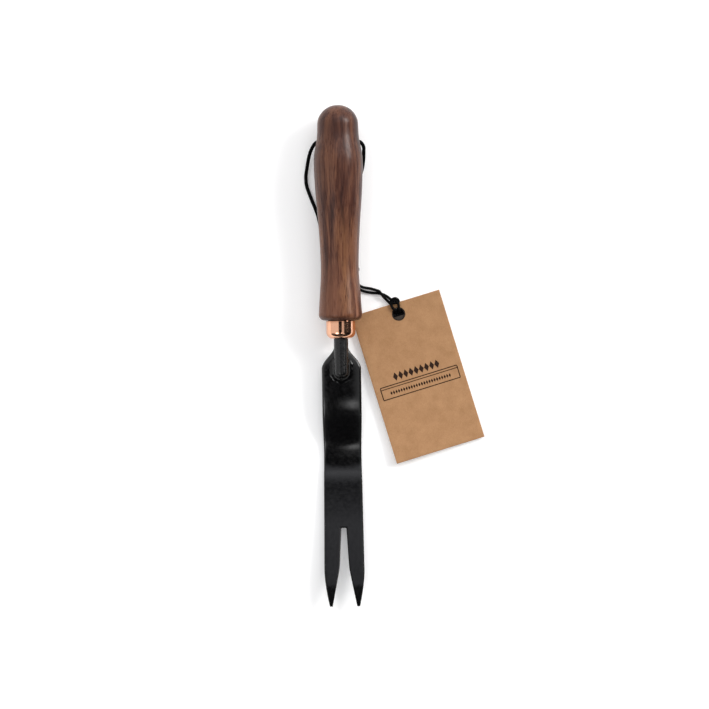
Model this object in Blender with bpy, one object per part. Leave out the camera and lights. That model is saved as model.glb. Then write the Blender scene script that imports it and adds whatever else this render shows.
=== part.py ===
"""Hand weeding fork: a turned handle, a copper ferrule, a round shank and a forked blade with a heel.

The fork lies on its back-bend on a flat surface. Places along the tool are given as a distance s from the
butt of the handle, places across it as x to the right of the tool's axis, and heights as z above the
surface, all in millimetres. at() turns them into the part's own frame: +Y towards the butt, +Z up.
"""

import math

import bmesh
import bpy
from mathutils import Vector

MM = 0.001
GAP = 0.3                      # clearance between neighbouring solids

# The whole tool
TOOL_LENGTH = 305.0
ORIGIN_S = TOOL_LENGTH / 2     # the frame's origin, under the middle of the tool
AXIS_HEIGHT = 14.95            # the handle's axis, so that its widest part just clears the surface

# Handle
HANDLE_FRONT_S = 130.8
DOME_DEPTH = 12.0
FRONT_FILLET = 3.5
HANDLE_OUTLINE = [             # s, radius: from the dome's edge to the front fillet
    (12.0, 12.45), (17.0, 12.58), (20.0, 12.85), (23.0, 13.35), (27.0, 14.1), (31.0, 14.7), (35.0, 14.9),
    (39.0, 14.85), (45.0, 14.6), (52.0, 14.25), (60.0, 13.65), (68.0, 13.0), (76.0, 12.45), (84.0, 11.98),
    (92.0, 11.65), (99.0, 11.55), (105.0, 11.7), (112.0, 12.2), (119.0, 12.68), (127.3, 13.25),
]
SPIGOT_RADIUS = 7.8
SPIGOT_END_S = 140.9
SPIGOT_CORNER = 2.7
BORE_RADIUS = 5.0
BORE_START_S = 74.0
BORE_POINT = 2.0               # depth of the bore's conical end
OUTLINE_STEP = 4.5
CORD_HOLE_S = 21.7
CORD_HOLE_Z = 13.4
CORD_HOLE_RADIUS = 2.0
CORD_HOLE_REACH = 16.0         # half the cutter's length
CORD_HOLE_FLARE = 6.1          # the mouth's depth, and its radius at the cutter's end

# Ferrule
FERRULE_START_S = HANDLE_FRONT_S + GAP
FERRULE_END_S = 142.0
FERRULE_RADIUS = 8.9
FERRULE_WALL = 0.75
FERRULE_CORNER = 4.0

# Shank: the tang inside the handle, the neck in front of it
TANG_START_S = 76.0
TANG_RADIUS = 3.9
NECK_RADIUS = 4.35
NECK_START_S = 139.9
NECK_END_S = 165.8
NECK_END_ROUND = 2.8
TANG_CHAMFER = 1.0
TANG_GROOVES = [86.0, 98.0, 110.0, 122.0]
GROOVE_DEPTH = 0.5
GROOVE_WIDTH = 3.0
GROOVE_FLANK = 0.7
NECK_STEP = 0.2                # length of the step from the tang up to the neck
ADHESIVE_RADII = (4.2, 4.7)
ADHESIVE_SPAN = (78.0, 139.4)

# Blade
BLADE_START_S = 147.6
BLADE_START_HALF = 4.45
SHOULDER_S = 160.3
FORK_ROOT_S = 257.3
TIP_S = TOOL_LENGTH
HEEL_FLAT = (210.5, 214.5)
SLOPE = [                      # s, rise in degrees towards the tips
    (147.6, 0.0), (174.0, 0.0), (188.0, -15.0), (203.0, -15.0), (210.5, 0.0), (214.5, 0.0),
    (218.5, 7.0), (223.0, 7.0), (231.0, 3.5), (255.0, 5.5), (305.0, 5.5),
]
THICKNESS = [(147.6, 5.0), (190.0, 5.0), (210.5, 3.6), (221.0, 2.7), (294.0, 2.2), (305.0, 0.9)]
HALF_WIDTH = [
    (160.3, 12.0), (192.0, 12.0), (209.0, 11.45), (216.0, 11.45), (230.0, 11.75), (256.0, 11.97),
    (283.0, 12.28),
]
SHOULDER_POWER = 0.85          # above 1 the shoulder swells later, below 1 sooner
EDGE_ROUND = [(147.6, 1.6), (200.0, 1.5), (221.0, 0.7), (294.0, 0.6), (305.0, 0.3)]
CROWN = [(147.6, 0.5), (205.0, 0.5), (221.0, 0.0), (305.0, 0.0)]
LOWER_EDGE_LIMIT = 0.4         # most of the thickness that the lower and upper edge rounding take
UPPER_EDGE_LIMIT = 0.5
EDGE_WIDTH_LIMIT = 0.45        # most of a half section's width that they take
TIP_TAPER_S = 283.0
TIP_TAPER_LENGTH = 20.5
TIP_TAPER = 2.75
TIP_TAPER_POWER = 1.6
SLOT_ROOT_HALF = 1.5
SLOT_TAPER = 0.055
SLOT_MOUTH_S = 279.5
SLOT_MOUTH_BLEND = 3.0
SLOT_MOUTH_FLARE = 0.148
CUTTER_OVERSHOOT = 2.0

# Weld around the end of the neck
WELD_START_S = 154.6
WELD_ARC_S = 162.0
WELD_SECTION = [(4.05, 0.3), (7.2, 0.3), (5.6, 1.0), (4.95, 2.15), (4.65, 1.25)]

# Hang cord and its knot
HANG_CORD_DIAMETER = 2.2
HANG_CORD_ROUTE = [            # x, s, z: knot, left leg, through the handle, right leg, back to the knot
    (-8.3, 100.8, 1.9), (-8.6, 95.0, 1.3), (-9.4, 88.0, 1.15), (-10.4, 80.0, 1.15), (-11.6, 73.0, 1.15),
    (-12.9, 67.0, 1.15), (-14.4, 62.4, 1.15), (-16.3, 57.6, 1.15), (-18.1, 52.7, 1.15),
    (-19.6, 47.8, 1.25), (-19.9, 42.6, 1.7), (-19.2, 37.8, 3.1), (-18.3, 33.0, 5.5), (-17.1, 28.6, 8.3),
    (-15.5, 25.2, 10.6), (-13.6, 22.8, 12.3), (-11.0, 21.8, 13.25), (-5.5, 21.7, 13.4),
    (5.5, 21.7, 13.4), (11.0, 21.8, 13.25), (13.8, 22.8, 12.4), (15.5, 25.2, 10.3), (15.6, 28.8, 7.9),
    (15.4, 33.0, 5.6), (14.7, 37.6, 3.4), (13.5, 42.2, 2.0), (12.2, 47.4, 1.25), (10.9, 54.0, 1.15),
    (9.9, 62.0, 1.15), (9.2, 72.0, 1.15), (8.9, 82.0, 1.2), (8.9, 88.5, 1.7), (9.0, 93.5, 2.7),
    (9.1, 97.5, 3.15), (9.1, 102.3, 3.05), (8.1, 105.7, 2.1), (5.6, 107.9, 1.3), (1.4, 108.6, 1.15),
    (-2.6, 107.4, 1.3), (-4.9, 105.9, 1.9),
]
HANG_KNOT_CENTRE = (-8.3, 104.5, 2.35)
HANG_KNOT_RADII = (3.5, 3.3, 2.3)

# Tag string and its hitch round the hang cord
STRING_DIAMETER = 1.7
STRING_ROUTE = [               # x, s, z: hitch, over the other strand, round the tag's edge, back, hitch
    (10.8, 101.9, 4.4), (10.5, 104.8, 3.6), (10.6, 107.3, 3.1), (11.7, 109.5, 2.65), (13.8, 110.7, 1.9),
    (16.1, 111.2, 1.25), (18.4, 111.6, 0.95), (21.2, 112.4, 1.3), (23.6, 113.3, 2.3), (25.0, 114.9, 2.9),
    (26.5, 116.9, 2.4), (28.3, 118.8, 1.45), (29.95, 120.55, 0.95), (31.6, 122.7, 0.95), (33.1, 125.0, 1.15),
    (33.8, 126.0, 2.6), (33.1, 125.0, 4.0), (31.8, 123.6, 4.15), (31.0, 121.7, 4.15), (31.5, 119.9, 4.1),
    (33.2, 119.1, 4.1), (34.8, 120.0, 4.1), (35.4, 121.9, 4.15), (35.6, 123.7, 4.15), (35.8, 125.0, 4.0),
    (36.0, 126.0, 2.6), (35.8, 125.0, 1.2), (34.9, 123.4, 0.95), (33.3, 121.4, 0.95), (31.3, 119.0, 0.95),
    (29.2, 117.1, 0.9), (27.2, 115.8, 0.88), (25.0, 114.95, 0.88), (22.8, 114.5, 0.9), (20.6, 114.3, 0.95),
    (17.4, 113.9, 0.95), (14.2, 113.1, 0.95), (11.7, 111.7, 0.95), (10.4, 109.2, 0.95), (10.2, 105.6, 0.95),
    (10.3, 101.9, 1.1),
]
HITCH_CENTRE = (9.1, 100.0, 3.15)
HITCH_LENGTH = 3.0

# Tag
TAG_WIDTH = 56.0
TAG_LENGTH = 94.0
TAG_THICKNESS = 0.6
TAG_HOLE_CENTRE = (35.4, 127.4)
TAG_HOLE_RADIUS = 3.9
TAG_HOLE_INSET = 7.0           # from the hole's centre to the tag's top edge
TAG_TURN = math.radians(16.3)  # the tag's length, turned away from the tool's axis
TAG_HOLE_Z = 2.3               # underside of the tag at the hole
TAG_FAR_Z = 1.5                # underside of the tag at its far edge


def at(x, s, z):
    """A place on the tool in the part's frame, in metres."""
    return Vector((x * MM, (ORIGIN_S - s) * MM, z * MM))


def clear_scene():
    for obj in list(bpy.data.objects):
        bpy.data.objects.remove(obj, do_unlink=True)


def material(name, color, roughness, metallic=0.0):
    made = bpy.data.materials.new(name)
    made.use_nodes = True
    shader = made.node_tree.nodes["Principled BSDF"]
    shader.inputs["Base Color"].default_value = (*color, 1.0)
    shader.inputs["Roughness"].default_value = roughness
    shader.inputs["Metallic"].default_value = metallic
    return made


def add_object(name, data, look):
    obj = bpy.data.objects.new(name, data)
    bpy.context.scene.collection.objects.link(obj)
    if look:
        data.materials.append(look)
    return obj


def finish_mesh(name, shape, look):
    """Closes a bmesh off as an object with outward faces and smooth round sides."""
    bmesh.ops.recalc_face_normals(shape, faces=shape.faces)
    mesh = bpy.data.meshes.new(name)
    shape.to_mesh(mesh)
    shape.free()
    mesh.shade_smooth()
    mesh.set_sharp_from_angle(angle=math.radians(35))
    return add_object(name, mesh, look)


def between(keys, s):
    """Straight-line value at s in a list of (s, value)."""
    for (s0, v0), (s1, v1) in zip(keys, keys[1:]):
        if s <= s1:
            return v0 + (v1 - v0) * (s - s0) / (s1 - s0)
    return keys[-1][1]


def smooth_line(points, spacing):
    """Points at even steps along a Catmull-Rom curve through the given ones."""
    ends = [2 * points[0] - points[1]] + points + [2 * points[-1] - points[-2]]
    fine = []
    for a, b, c, d in zip(ends, ends[1:], ends[2:], ends[3:]):
        for step in range(16):
            t = step / 16
            fine.append(0.5 * (2 * b + (c - a) * t + (2 * a - 5 * b + 4 * c - d) * t ** 2
                               + (3 * b - a - 3 * c + d) * t ** 3))
    fine.append(points[-1])
    length = sum((q - p).length for p, q in zip(fine, fine[1:]))
    count = max(2, round(length / spacing))
    line = [fine[0]]
    walked = 0.0
    for p, q in zip(fine, fine[1:]):
        step = (q - p).length
        while len(line) < count and walked + step >= len(line) * length / count:
            line.append(p.lerp(q, (len(line) * length / count - walked) / step))
        walked += step
    line.append(fine[-1])
    return line


def arc(centre, radius, start, end, steps):
    """Points on a circle arc, as (s, r), from one angle to another in degrees."""
    angles = [math.radians(start + (end - start) * i / steps) for i in range(steps + 1)]
    return [(centre[0] + radius * math.cos(a), centre[1] + radius * math.sin(a)) for a in angles]


def revolve(name, profile, segments, look, closed=False):
    """Turns a profile of (s, radius) about the tool's axis. A closed profile makes a ring."""
    shape = bmesh.new()
    rings = []
    for s, radius in profile:
        if radius < 1e-6:
            rings.append([shape.verts.new(at(0, s, AXIS_HEIGHT))])
            continue
        angles = [2 * math.pi * i / segments for i in range(segments)]
        rings.append([shape.verts.new(at(radius * math.sin(a), s, AXIS_HEIGHT - radius * math.cos(a)))
                      for a in angles])
    pairs = list(zip(rings, rings[1:]))
    if closed:
        pairs.append((rings[-1], rings[0]))
    for ring, following in pairs:
        bridge(shape, ring, following, segments)
    return finish_mesh(name, shape, look)


def bridge(shape, ring, following, segments):
    for i in range(segments):
        j = (i + 1) % segments
        corners = [ring[i % len(ring)], ring[j % len(ring)], following[j % len(following)],
                   following[i % len(following)]]
        shape.faces.new(list(dict.fromkeys(corners)))


def cut(obj, cutter):
    """Takes the cutter's shape out of the object."""
    cutter.hide_render = True
    cutter.display_type = "WIRE"
    boolean = obj.modifiers.new("cut", "BOOLEAN")
    boolean.operation = "DIFFERENCE"
    boolean.solver = "EXACT"
    boolean.object = cutter


def tube(name, route, diameter, spacing, look):
    """A plain round cord along a smooth curve through its route."""
    points = smooth_line([at(*point) for point in route], spacing * MM)
    curve = bpy.data.curves.new(name, "CURVE")
    curve.dimensions = "3D"
    curve.bevel_depth = diameter / 2 * MM
    curve.bevel_resolution = 2
    curve.use_fill_caps = True
    spline = curve.splines.new("POLY")
    spline.points.add(len(points) - 1)
    for target, point in zip(spline.points, points):
        target.co = (*point, 1.0)
    return add_object(name, curve, look)


def handle_profile():
    """The handle's outline from the butt, over the spigot, and back along the blind bore."""
    steps = 9
    dome = []
    for i in range(steps):
        angle = math.pi / 2 * i / steps
        dome.append((DOME_DEPTH * (1 - math.cos(angle)), HANDLE_OUTLINE[0][1] * math.sin(angle)))
    body = [tuple(point) for point in smooth_line([Vector(point) for point in HANDLE_OUTLINE], OUTLINE_STEP)]
    rim = HANDLE_OUTLINE[-1][1]
    front = arc((HANDLE_FRONT_S - FRONT_FILLET, rim - FRONT_FILLET), FRONT_FILLET, 72, 0, 4)
    spigot = arc((SPIGOT_END_S - SPIGOT_CORNER, SPIGOT_RADIUS - SPIGOT_CORNER), SPIGOT_CORNER, 90, 0, 4)
    bore = [(SPIGOT_END_S, BORE_RADIUS), (BORE_START_S, BORE_RADIUS), (BORE_START_S - BORE_POINT, 0.0)]
    return dome + body + front + [(HANDLE_FRONT_S, SPIGOT_RADIUS)] + spigot + bore


def cord_hole_cutter():
    """A cross hole with flared mouths, for the hang cord."""
    shape = bmesh.new()
    throat = CORD_HOLE_REACH - CORD_HOLE_FLARE
    stations = [(-CORD_HOLE_REACH, CORD_HOLE_FLARE), (-throat, CORD_HOLE_RADIUS),
                (throat, CORD_HOLE_RADIUS), (CORD_HOLE_REACH, CORD_HOLE_FLARE)]
    segments = 20
    rings = []
    for x, radius in stations:
        angles = [2 * math.pi * i / segments for i in range(segments)]
        rings.append([shape.verts.new(at(x, CORD_HOLE_S + radius * math.sin(a),
                                         CORD_HOLE_Z + radius * math.cos(a))) for a in angles])
    for ring, following in zip(rings, rings[1:]):
        bridge(shape, ring, following, segments)
    shape.faces.new(rings[0])
    shape.faces.new(rings[-1])
    return finish_mesh("cord_hole_cutter", shape, None)


def make_handle():
    look = material("walnut", (0.17, 0.085, 0.05), 0.45)
    handle = revolve("handle", handle_profile(), 40, look)
    cut(handle, cord_hole_cutter())


def make_ferrule():
    look = material("copper", (0.85, 0.5, 0.33), 0.2, 1.0)
    corner = (FERRULE_END_S - FERRULE_CORNER, FERRULE_RADIUS - FERRULE_CORNER)
    neck = NECK_RADIUS + GAP
    inner = FERRULE_CORNER - FERRULE_WALL
    outside = [(FERRULE_START_S, FERRULE_RADIUS)] + arc(corner, FERRULE_CORNER, 90, 0, 5)
    hole = [(FERRULE_END_S, neck), (FERRULE_END_S - FERRULE_WALL, neck)]
    inside = arc(corner, inner, 0, 90, 4) + [(FERRULE_START_S, FERRULE_RADIUS - FERRULE_WALL)]
    revolve("ferrule", outside + hole + inside, 40, look, closed=True)


def make_shank():
    look = material("black_steel", (0.02, 0.02, 0.022), 0.4)
    profile = [(TANG_START_S, 0.0), (TANG_START_S, TANG_RADIUS - TANG_CHAMFER),
               (TANG_START_S + TANG_CHAMFER, TANG_RADIUS)]
    for s in TANG_GROOVES:
        floor = TANG_RADIUS - GROOVE_DEPTH
        profile += [(s, TANG_RADIUS), (s + GROOVE_FLANK, floor), (s + GROOVE_WIDTH - GROOVE_FLANK, floor),
                    (s + GROOVE_WIDTH, TANG_RADIUS)]
    profile += [(NECK_START_S, TANG_RADIUS), (NECK_START_S + NECK_STEP, NECK_RADIUS)]
    steps = 5
    for i in range(steps + 1):
        angle = math.pi / 2 * i / steps
        profile.append((NECK_END_S - NECK_END_ROUND * (1 - math.sin(angle)), NECK_RADIUS * math.cos(angle)))
    revolve("shank", profile, 32, look)


def make_adhesive():
    look = material("adhesive", (0.5, 0.42, 0.28), 0.5)
    inner, outer = ADHESIVE_RADII
    start, end = ADHESIVE_SPAN
    revolve("tang_adhesive", [(start, outer), (end, outer), (end, inner), (start, inner)], 24, look,
            closed=True)


def slope_height(s):
    """How far the blade's underside at s is above the flat of the heel."""
    start = sum(HEEL_FLAT) / 2
    steps = 200
    length = (s - start) / steps
    return sum(math.tan(math.radians(between(SLOPE, start + length * (i + 0.5)))) * length
               for i in range(steps))


def outer_half(s):
    """Half the blade's width: a rounded shoulder, a long waist and tines that draw in at the tips."""
    if s < SHOULDER_S:
        t = ((s - BLADE_START_S) / (SHOULDER_S - BLADE_START_S)) ** SHOULDER_POWER
        return BLADE_START_HALF + (HALF_WIDTH[0][1] - BLADE_START_HALF) * t * t * (3 - 2 * t)
    if s > TIP_TAPER_S:
        return HALF_WIDTH[-1][1] - TIP_TAPER * ((s - TIP_TAPER_S) / TIP_TAPER_LENGTH) ** TIP_TAPER_POWER
    return between(HALF_WIDTH, s)


def slot_half(s):
    """Half the gap between the tines: a narrow slot that opens into a wide V."""
    beyond = math.hypot(max(0.0, s - SLOT_MOUTH_S), SLOT_MOUTH_BLEND) - SLOT_MOUTH_BLEND
    return SLOT_ROOT_HALF + SLOT_TAPER * max(0.0, s - FORK_ROOT_S) + SLOT_MOUTH_FLARE * beyond


def half_section(s, side, inner):
    """One side of the blade's cross-section, from under the inner edge round to above it."""
    bottom = slope_height(s)
    thick = between(THICKNESS, s)
    edge = between(EDGE_ROUND, s)
    outer = outer_half(s)
    across = EDGE_WIDTH_LIMIT * (outer - inner)
    lower = min(edge, LOWER_EDGE_LIMIT * thick, across)
    upper = min(edge, UPPER_EDGE_LIMIT * thick, across)
    middle = (inner + outer - upper) / 2
    crown = between(CROWN, s)

    def top(x):
        return bottom + thick - crown * (x / outer) ** 2

    points = [(inner, bottom), (middle, bottom)]
    for x, z in arc((outer - lower, bottom + lower), lower, -90, 0, 2):
        points.append((x, z))
    for x, z in arc((outer - upper, top(outer) - upper), upper, 0, 90, 3):
        points.append((x, z))
    points += [(middle, top(middle)), (inner, top(inner))]
    return [at(side * x, s, z) for x, z in points]


def blade_stations():
    shoulder = [BLADE_START_S + (SHOULDER_S - BLADE_START_S) * i / 8 for i in range(9)]
    bends = [167.0, 174.0, 177.5, 181.0, 184.5, 188.0, 195.5, 203.0, 205.5, 208.0]
    heel = [HEEL_FLAT[0], HEEL_FLAT[1], 216.5, 218.5, 223.0, 227.0, 231.0, 239.0, 247.0, 255.0]
    fork = [FORK_ROOT_S, 264.0, 271.0, 277.0, 280.0, 283.0, 286.0, 289.0, 292.0, 295.0, 298.0, 301.0,
            303.5, TIP_S]
    return shoulder + bends + heel + fork


def make_blade():
    """One plate from the shoulder to the fork's root, and a tine on each side from there on."""
    look = material("black_coating", (0.025, 0.025, 0.028), 0.45)
    shape = bmesh.new()
    stations = blade_stations()
    root = stations.index(FORK_ROOT_S)
    sides = {}
    for side in (-1, 1):
        sides[side] = [[shape.verts.new(p) for p in half_section(s, side, slot_half(s))] for s in stations]
        for ring, following in zip(sides[side], sides[side][1:]):
            for (a, b), (c, d) in zip(zip(ring, ring[1:]), zip(following, following[1:])):
                shape.faces.new((a, b, d, c))
        for ring, following in zip(sides[side][root:], sides[side][root + 1:]):
            shape.faces.new((ring[0], ring[-1], following[-1], following[0]))
        shape.faces.new(sides[side][-1])
    for i in range(root):
        for end in (0, -1):
            shape.faces.new((sides[-1][i][end], sides[1][i][end], sides[1][i + 1][end],
                             sides[-1][i + 1][end]))
    left, right = sides[-1][root], sides[1][root]
    shape.faces.new((left[0], right[0], right[-1], left[-1]))
    shape.faces.new(sides[-1][0] + sides[1][0][::-1])
    blade = finish_mesh("blade", shape, look)
    clearance = NECK_RADIUS + GAP
    start = BLADE_START_S - CUTTER_OVERSHOOT
    groove = [(start, 0.0), (start, clearance)]
    for s, radius in arc((0.0, 0.0), 1.0, 90, 0, 6):
        groove.append((NECK_END_S - NECK_END_ROUND + s * (NECK_END_ROUND + GAP), radius * clearance))
    cut(blade, revolve("groove_cutter", groove, 32, None))


def make_weld():
    """A fillet that runs down both sides of the neck and round its end, on top of the blade."""
    look = material("weld", (0.02, 0.02, 0.02), 0.35)
    plate_top = slope_height(WELD_ARC_S) + between(THICKNESS, WELD_ARC_S)
    steps = 12
    path = [(-1.0, WELD_START_S, 0.0)]
    for i in range(steps + 1):
        angle = math.pi * i / steps
        path.append((-math.cos(angle), WELD_ARC_S, math.sin(angle)))
    path.append((1.0, WELD_START_S, 0.0))
    shape = bmesh.new()
    rings = [[shape.verts.new(at(x * reach, s + ahead * reach, plate_top + up)) for reach, up in WELD_SECTION]
             for x, s, ahead in path]
    for ring, following in zip(rings, rings[1:]):
        bridge(shape, ring, following, len(WELD_SECTION))
    shape.faces.new(rings[0])
    shape.faces.new(rings[-1])
    finish_mesh("weld_bead", shape, look)


def make_knot(name, centre, radii, look):
    """The rounded lump of a tied knot."""
    shape = bmesh.new()
    bmesh.ops.create_uvsphere(shape, u_segments=14, v_segments=8, radius=1.0)
    for vert in shape.verts:
        vert.co = at(centre[0] + vert.co.x * radii[0], centre[1] - vert.co.y * radii[1],
                     centre[2] + vert.co.z * radii[2])
    finish_mesh(name, shape, look)


def make_hitch(look):
    """The turns of string round the hang cord, as one short sleeve."""
    shape = bmesh.new()
    segments = 16
    inner = HANG_CORD_DIAMETER / 2 + GAP
    outer = inner + STRING_DIAMETER
    x, s, z = HITCH_CENTRE
    half = HITCH_LENGTH / 2
    section = [(-half, outer), (half, outer), (half, inner), (-half, inner)]
    rings = []
    for along, radius in section:
        angles = [2 * math.pi * i / segments for i in range(segments)]
        rings.append([shape.verts.new(at(x + radius * math.sin(a), s + along, z - radius * math.cos(a)))
                      for a in angles])
    for i, ring in enumerate(rings):
        bridge(shape, ring, rings[(i + 1) % len(rings)], segments)
    finish_mesh("tag_string_hitch", shape, look)


def make_cords():
    cord = material("black_cord", (0.012, 0.012, 0.012), 0.7)
    tube("hang_cord", HANG_CORD_ROUTE, HANG_CORD_DIAMETER, 4.0, cord)
    make_knot("hang_cord_knot", HANG_KNOT_CENTRE, HANG_KNOT_RADII, cord)
    string = material("waxed_string", (0.01, 0.01, 0.01), 0.5)
    tube("tag_string", STRING_ROUTE, STRING_DIAMETER, 1.4, string)
    make_hitch(string)


def make_tag():
    """A flat card with a punched hole. Its pivot is the hole's centre, on a vertical axis."""
    look = material("kraft_card", (0.49, 0.28, 0.14), 0.8)
    pivot = at(*TAG_HOLE_CENTRE, TAG_HOLE_Z)
    tilt = math.atan2(TAG_HOLE_Z - TAG_FAR_Z, TAG_LENGTH - TAG_HOLE_INSET)
    shape = bmesh.new()
    bmesh.ops.create_cube(shape, size=1.0)
    low_y = -(TAG_LENGTH - TAG_HOLE_INSET)
    for vert in shape.verts:
        vert.co.x *= TAG_WIDTH * MM
        vert.co.y = (low_y + (vert.co.y + 0.5) * TAG_LENGTH) * MM
        vert.co.z = (vert.co.z + 0.5) * TAG_THICKNESS * MM
    tag = finish_mesh("tag_card", shape, look)
    hole = bmesh.new()
    bmesh.ops.create_cone(hole, cap_ends=True, segments=32, radius1=TAG_HOLE_RADIUS * MM,
                          radius2=TAG_HOLE_RADIUS * MM, depth=10 * MM)
    cutter = finish_mesh("tag_hole_cutter", hole, None)
    for obj in (tag, cutter):
        obj.location = pivot
        obj.rotation_euler = (tilt, 0.0, TAG_TURN)
    cut(tag, cutter)


def main():
    clear_scene()
    make_handle()
    make_ferrule()
    make_shank()
    make_adhesive()
    make_blade()
    make_weld()
    make_cords()
    make_tag()


main()
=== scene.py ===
"""The hand weeding fork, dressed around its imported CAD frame. Lengths in the tables are millimetres.

Places on the tool are x to the right of its axis, s from the butt of the handle, and z above the surface,
as in the CAD source. at() turns them into the row frame, in metres.
"""

import math

import bmesh
import bpy
from mathutils import Euler, Matrix, Vector, noise


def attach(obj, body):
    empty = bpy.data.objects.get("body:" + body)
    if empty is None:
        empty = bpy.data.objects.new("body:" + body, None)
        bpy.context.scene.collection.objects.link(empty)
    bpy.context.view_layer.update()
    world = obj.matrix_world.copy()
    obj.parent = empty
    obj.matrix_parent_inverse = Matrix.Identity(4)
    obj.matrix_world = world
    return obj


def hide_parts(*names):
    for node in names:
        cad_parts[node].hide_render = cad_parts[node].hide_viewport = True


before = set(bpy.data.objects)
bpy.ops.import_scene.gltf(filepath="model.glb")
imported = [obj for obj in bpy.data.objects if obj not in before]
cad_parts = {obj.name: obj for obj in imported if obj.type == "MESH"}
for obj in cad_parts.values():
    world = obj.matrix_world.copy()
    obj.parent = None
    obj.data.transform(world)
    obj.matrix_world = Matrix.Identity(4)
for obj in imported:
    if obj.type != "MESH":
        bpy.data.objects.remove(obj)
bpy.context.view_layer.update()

MM = 0.001
ORIGIN_S = 152.5
AXIS_HEIGHT = 14.95


def at(x, s, z):
    return Vector((x * MM, (ORIGIN_S - s) * MM, z * MM))


# ---------------------------------------------------------------- camera

CAMERA_ABOVE = (8.1, 151.7)
# the next three are in metres
CAMERA_HEIGHT = 2.4
SUBJECT_HEIGHT = 0.012
VIEW_WIDTH = 0.4311
SENSOR_WIDTH = 36.0
CAMERA_ROLL = math.radians(-0.88)


def make_camera():
    camera = bpy.data.objects.new("camera", bpy.data.cameras.new("camera"))
    bpy.context.collection.objects.link(camera)
    place = at(*CAMERA_ABOVE, 0.0)
    place.z = CAMERA_HEIGHT
    camera.location = place
    camera.rotation_euler = (0.0, 0.0, CAMERA_ROLL)
    camera.data.sensor_width = SENSOR_WIDTH
    camera.data.lens = SENSOR_WIDTH * (CAMERA_HEIGHT - SUBJECT_HEIGHT) / VIEW_WIDTH
    camera.data.clip_end = 20.0
    bpy.context.scene.camera = camera


make_camera()


# ---------------------------------------------------------------- material helpers

class Shader:
    """Short names for the nodes of one procedural material, on object coordinates in millimetres."""

    def __init__(self, name):
        self.material = bpy.data.materials.new(name)
        self.material.use_nodes = True
        self.tree = self.material.node_tree
        self.bsdf = self.tree.nodes["Principled BSDF"]
        coordinates = self.tree.nodes.new("ShaderNodeTexCoord")
        scale = self.tree.nodes.new("ShaderNodeVectorMath")
        scale.operation = "SCALE"
        scale.inputs["Scale"].default_value = 1.0 / MM
        self.tree.links.new(coordinates.outputs["Object"], scale.inputs[0])
        self.place = scale.outputs[0]

    def link(self, source, socket):
        if isinstance(source, bpy.types.NodeSocket):
            self.tree.links.new(source, socket)
        else:
            socket.default_value = source

    def set(self, **values):
        for key, value in values.items():
            self.link(value, self.bsdf.inputs[key.replace("_", " ")])

    def stretched(self, scale, offset=(0, 0, 0)):
        node = self.tree.nodes.new("ShaderNodeMapping")
        self.link(self.place, node.inputs["Vector"])
        node.inputs["Scale"].default_value = scale
        node.inputs["Location"].default_value = offset
        return node.outputs[0]

    def noise(self, vector, scale, detail, roughness=0.55, distortion=0.0):
        node = self.tree.nodes.new("ShaderNodeTexNoise")
        self.link(vector, node.inputs["Vector"])
        node.inputs["Scale"].default_value = scale
        node.inputs["Detail"].default_value = detail
        node.inputs["Roughness"].default_value = roughness
        node.inputs["Distortion"].default_value = distortion
        return node.outputs["Fac"]

    def ramp(self, value, *stops):
        node = self.tree.nodes.new("ShaderNodeValToRGB")
        self.link(value, node.inputs["Fac"])
        elements = node.color_ramp.elements
        while len(elements) < len(stops):
            elements.new(0.5)
        for element, (position, colour) in zip(elements, stops):
            element.position = position
            element.color = (*colour, 1.0)
        return node.outputs["Color"]

    def fit(self, value, low, high, to_low=0.0, to_high=1.0, smooth=False):
        node = self.tree.nodes.new("ShaderNodeMapRange")
        node.interpolation_type = "SMOOTHSTEP" if smooth else "LINEAR"
        for socket, number in zip(node.inputs[:5], (value, low, high, to_low, to_high)):
            self.link(number, socket)
        return node.outputs[0]

    def math(self, operation, first, second=0.0):
        node = self.tree.nodes.new("ShaderNodeMath")
        node.operation = operation
        self.link(first, node.inputs[0])
        self.link(second, node.inputs[1])
        return node.outputs[0]

    def times(self, first, second):
        return self.math("MULTIPLY", first, second)

    def sum(self, first, share, second, other_share):
        """Two values added up, each times its share."""
        return self.math("ADD", self.times(first, share), self.times(second, other_share))

    def axis(self, name):
        node = self.tree.nodes.new("ShaderNodeSeparateXYZ")
        self.link(self.place, node.inputs[0])
        return node.outputs[name]

    def mix(self, amount, first, second):
        node = self.tree.nodes.new("ShaderNodeMix")
        node.data_type = "RGBA"
        self.link(amount, node.inputs[0])
        self.link(self.colour(first), node.inputs[6])
        self.link(self.colour(second), node.inputs[7])
        return node.outputs[2]

    def bump(self, height, depth, strength):
        node = self.tree.nodes.new("ShaderNodeBump")
        node.inputs["Distance"].default_value = depth * MM
        node.inputs["Strength"].default_value = strength
        self.link(height, node.inputs["Height"])
        return node.outputs[0]

    def colour(self, value):
        return value if isinstance(value, bpy.types.NodeSocket) else (*value, 1.0)


# ---------------------------------------------------------------- mesh helpers

def between(keys, s):
    """The value at s on the straight lines between (s, value) keys."""
    if s <= keys[0][0]:
        return keys[0][1]
    for (s0, v0), (s1, v1) in zip(keys, keys[1:]):
        if s <= s1:
            return v0 + (v1 - v0) * (s - s0) / (s1 - s0)
    return keys[-1][1]


CURVE_STEPS = 24


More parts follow.
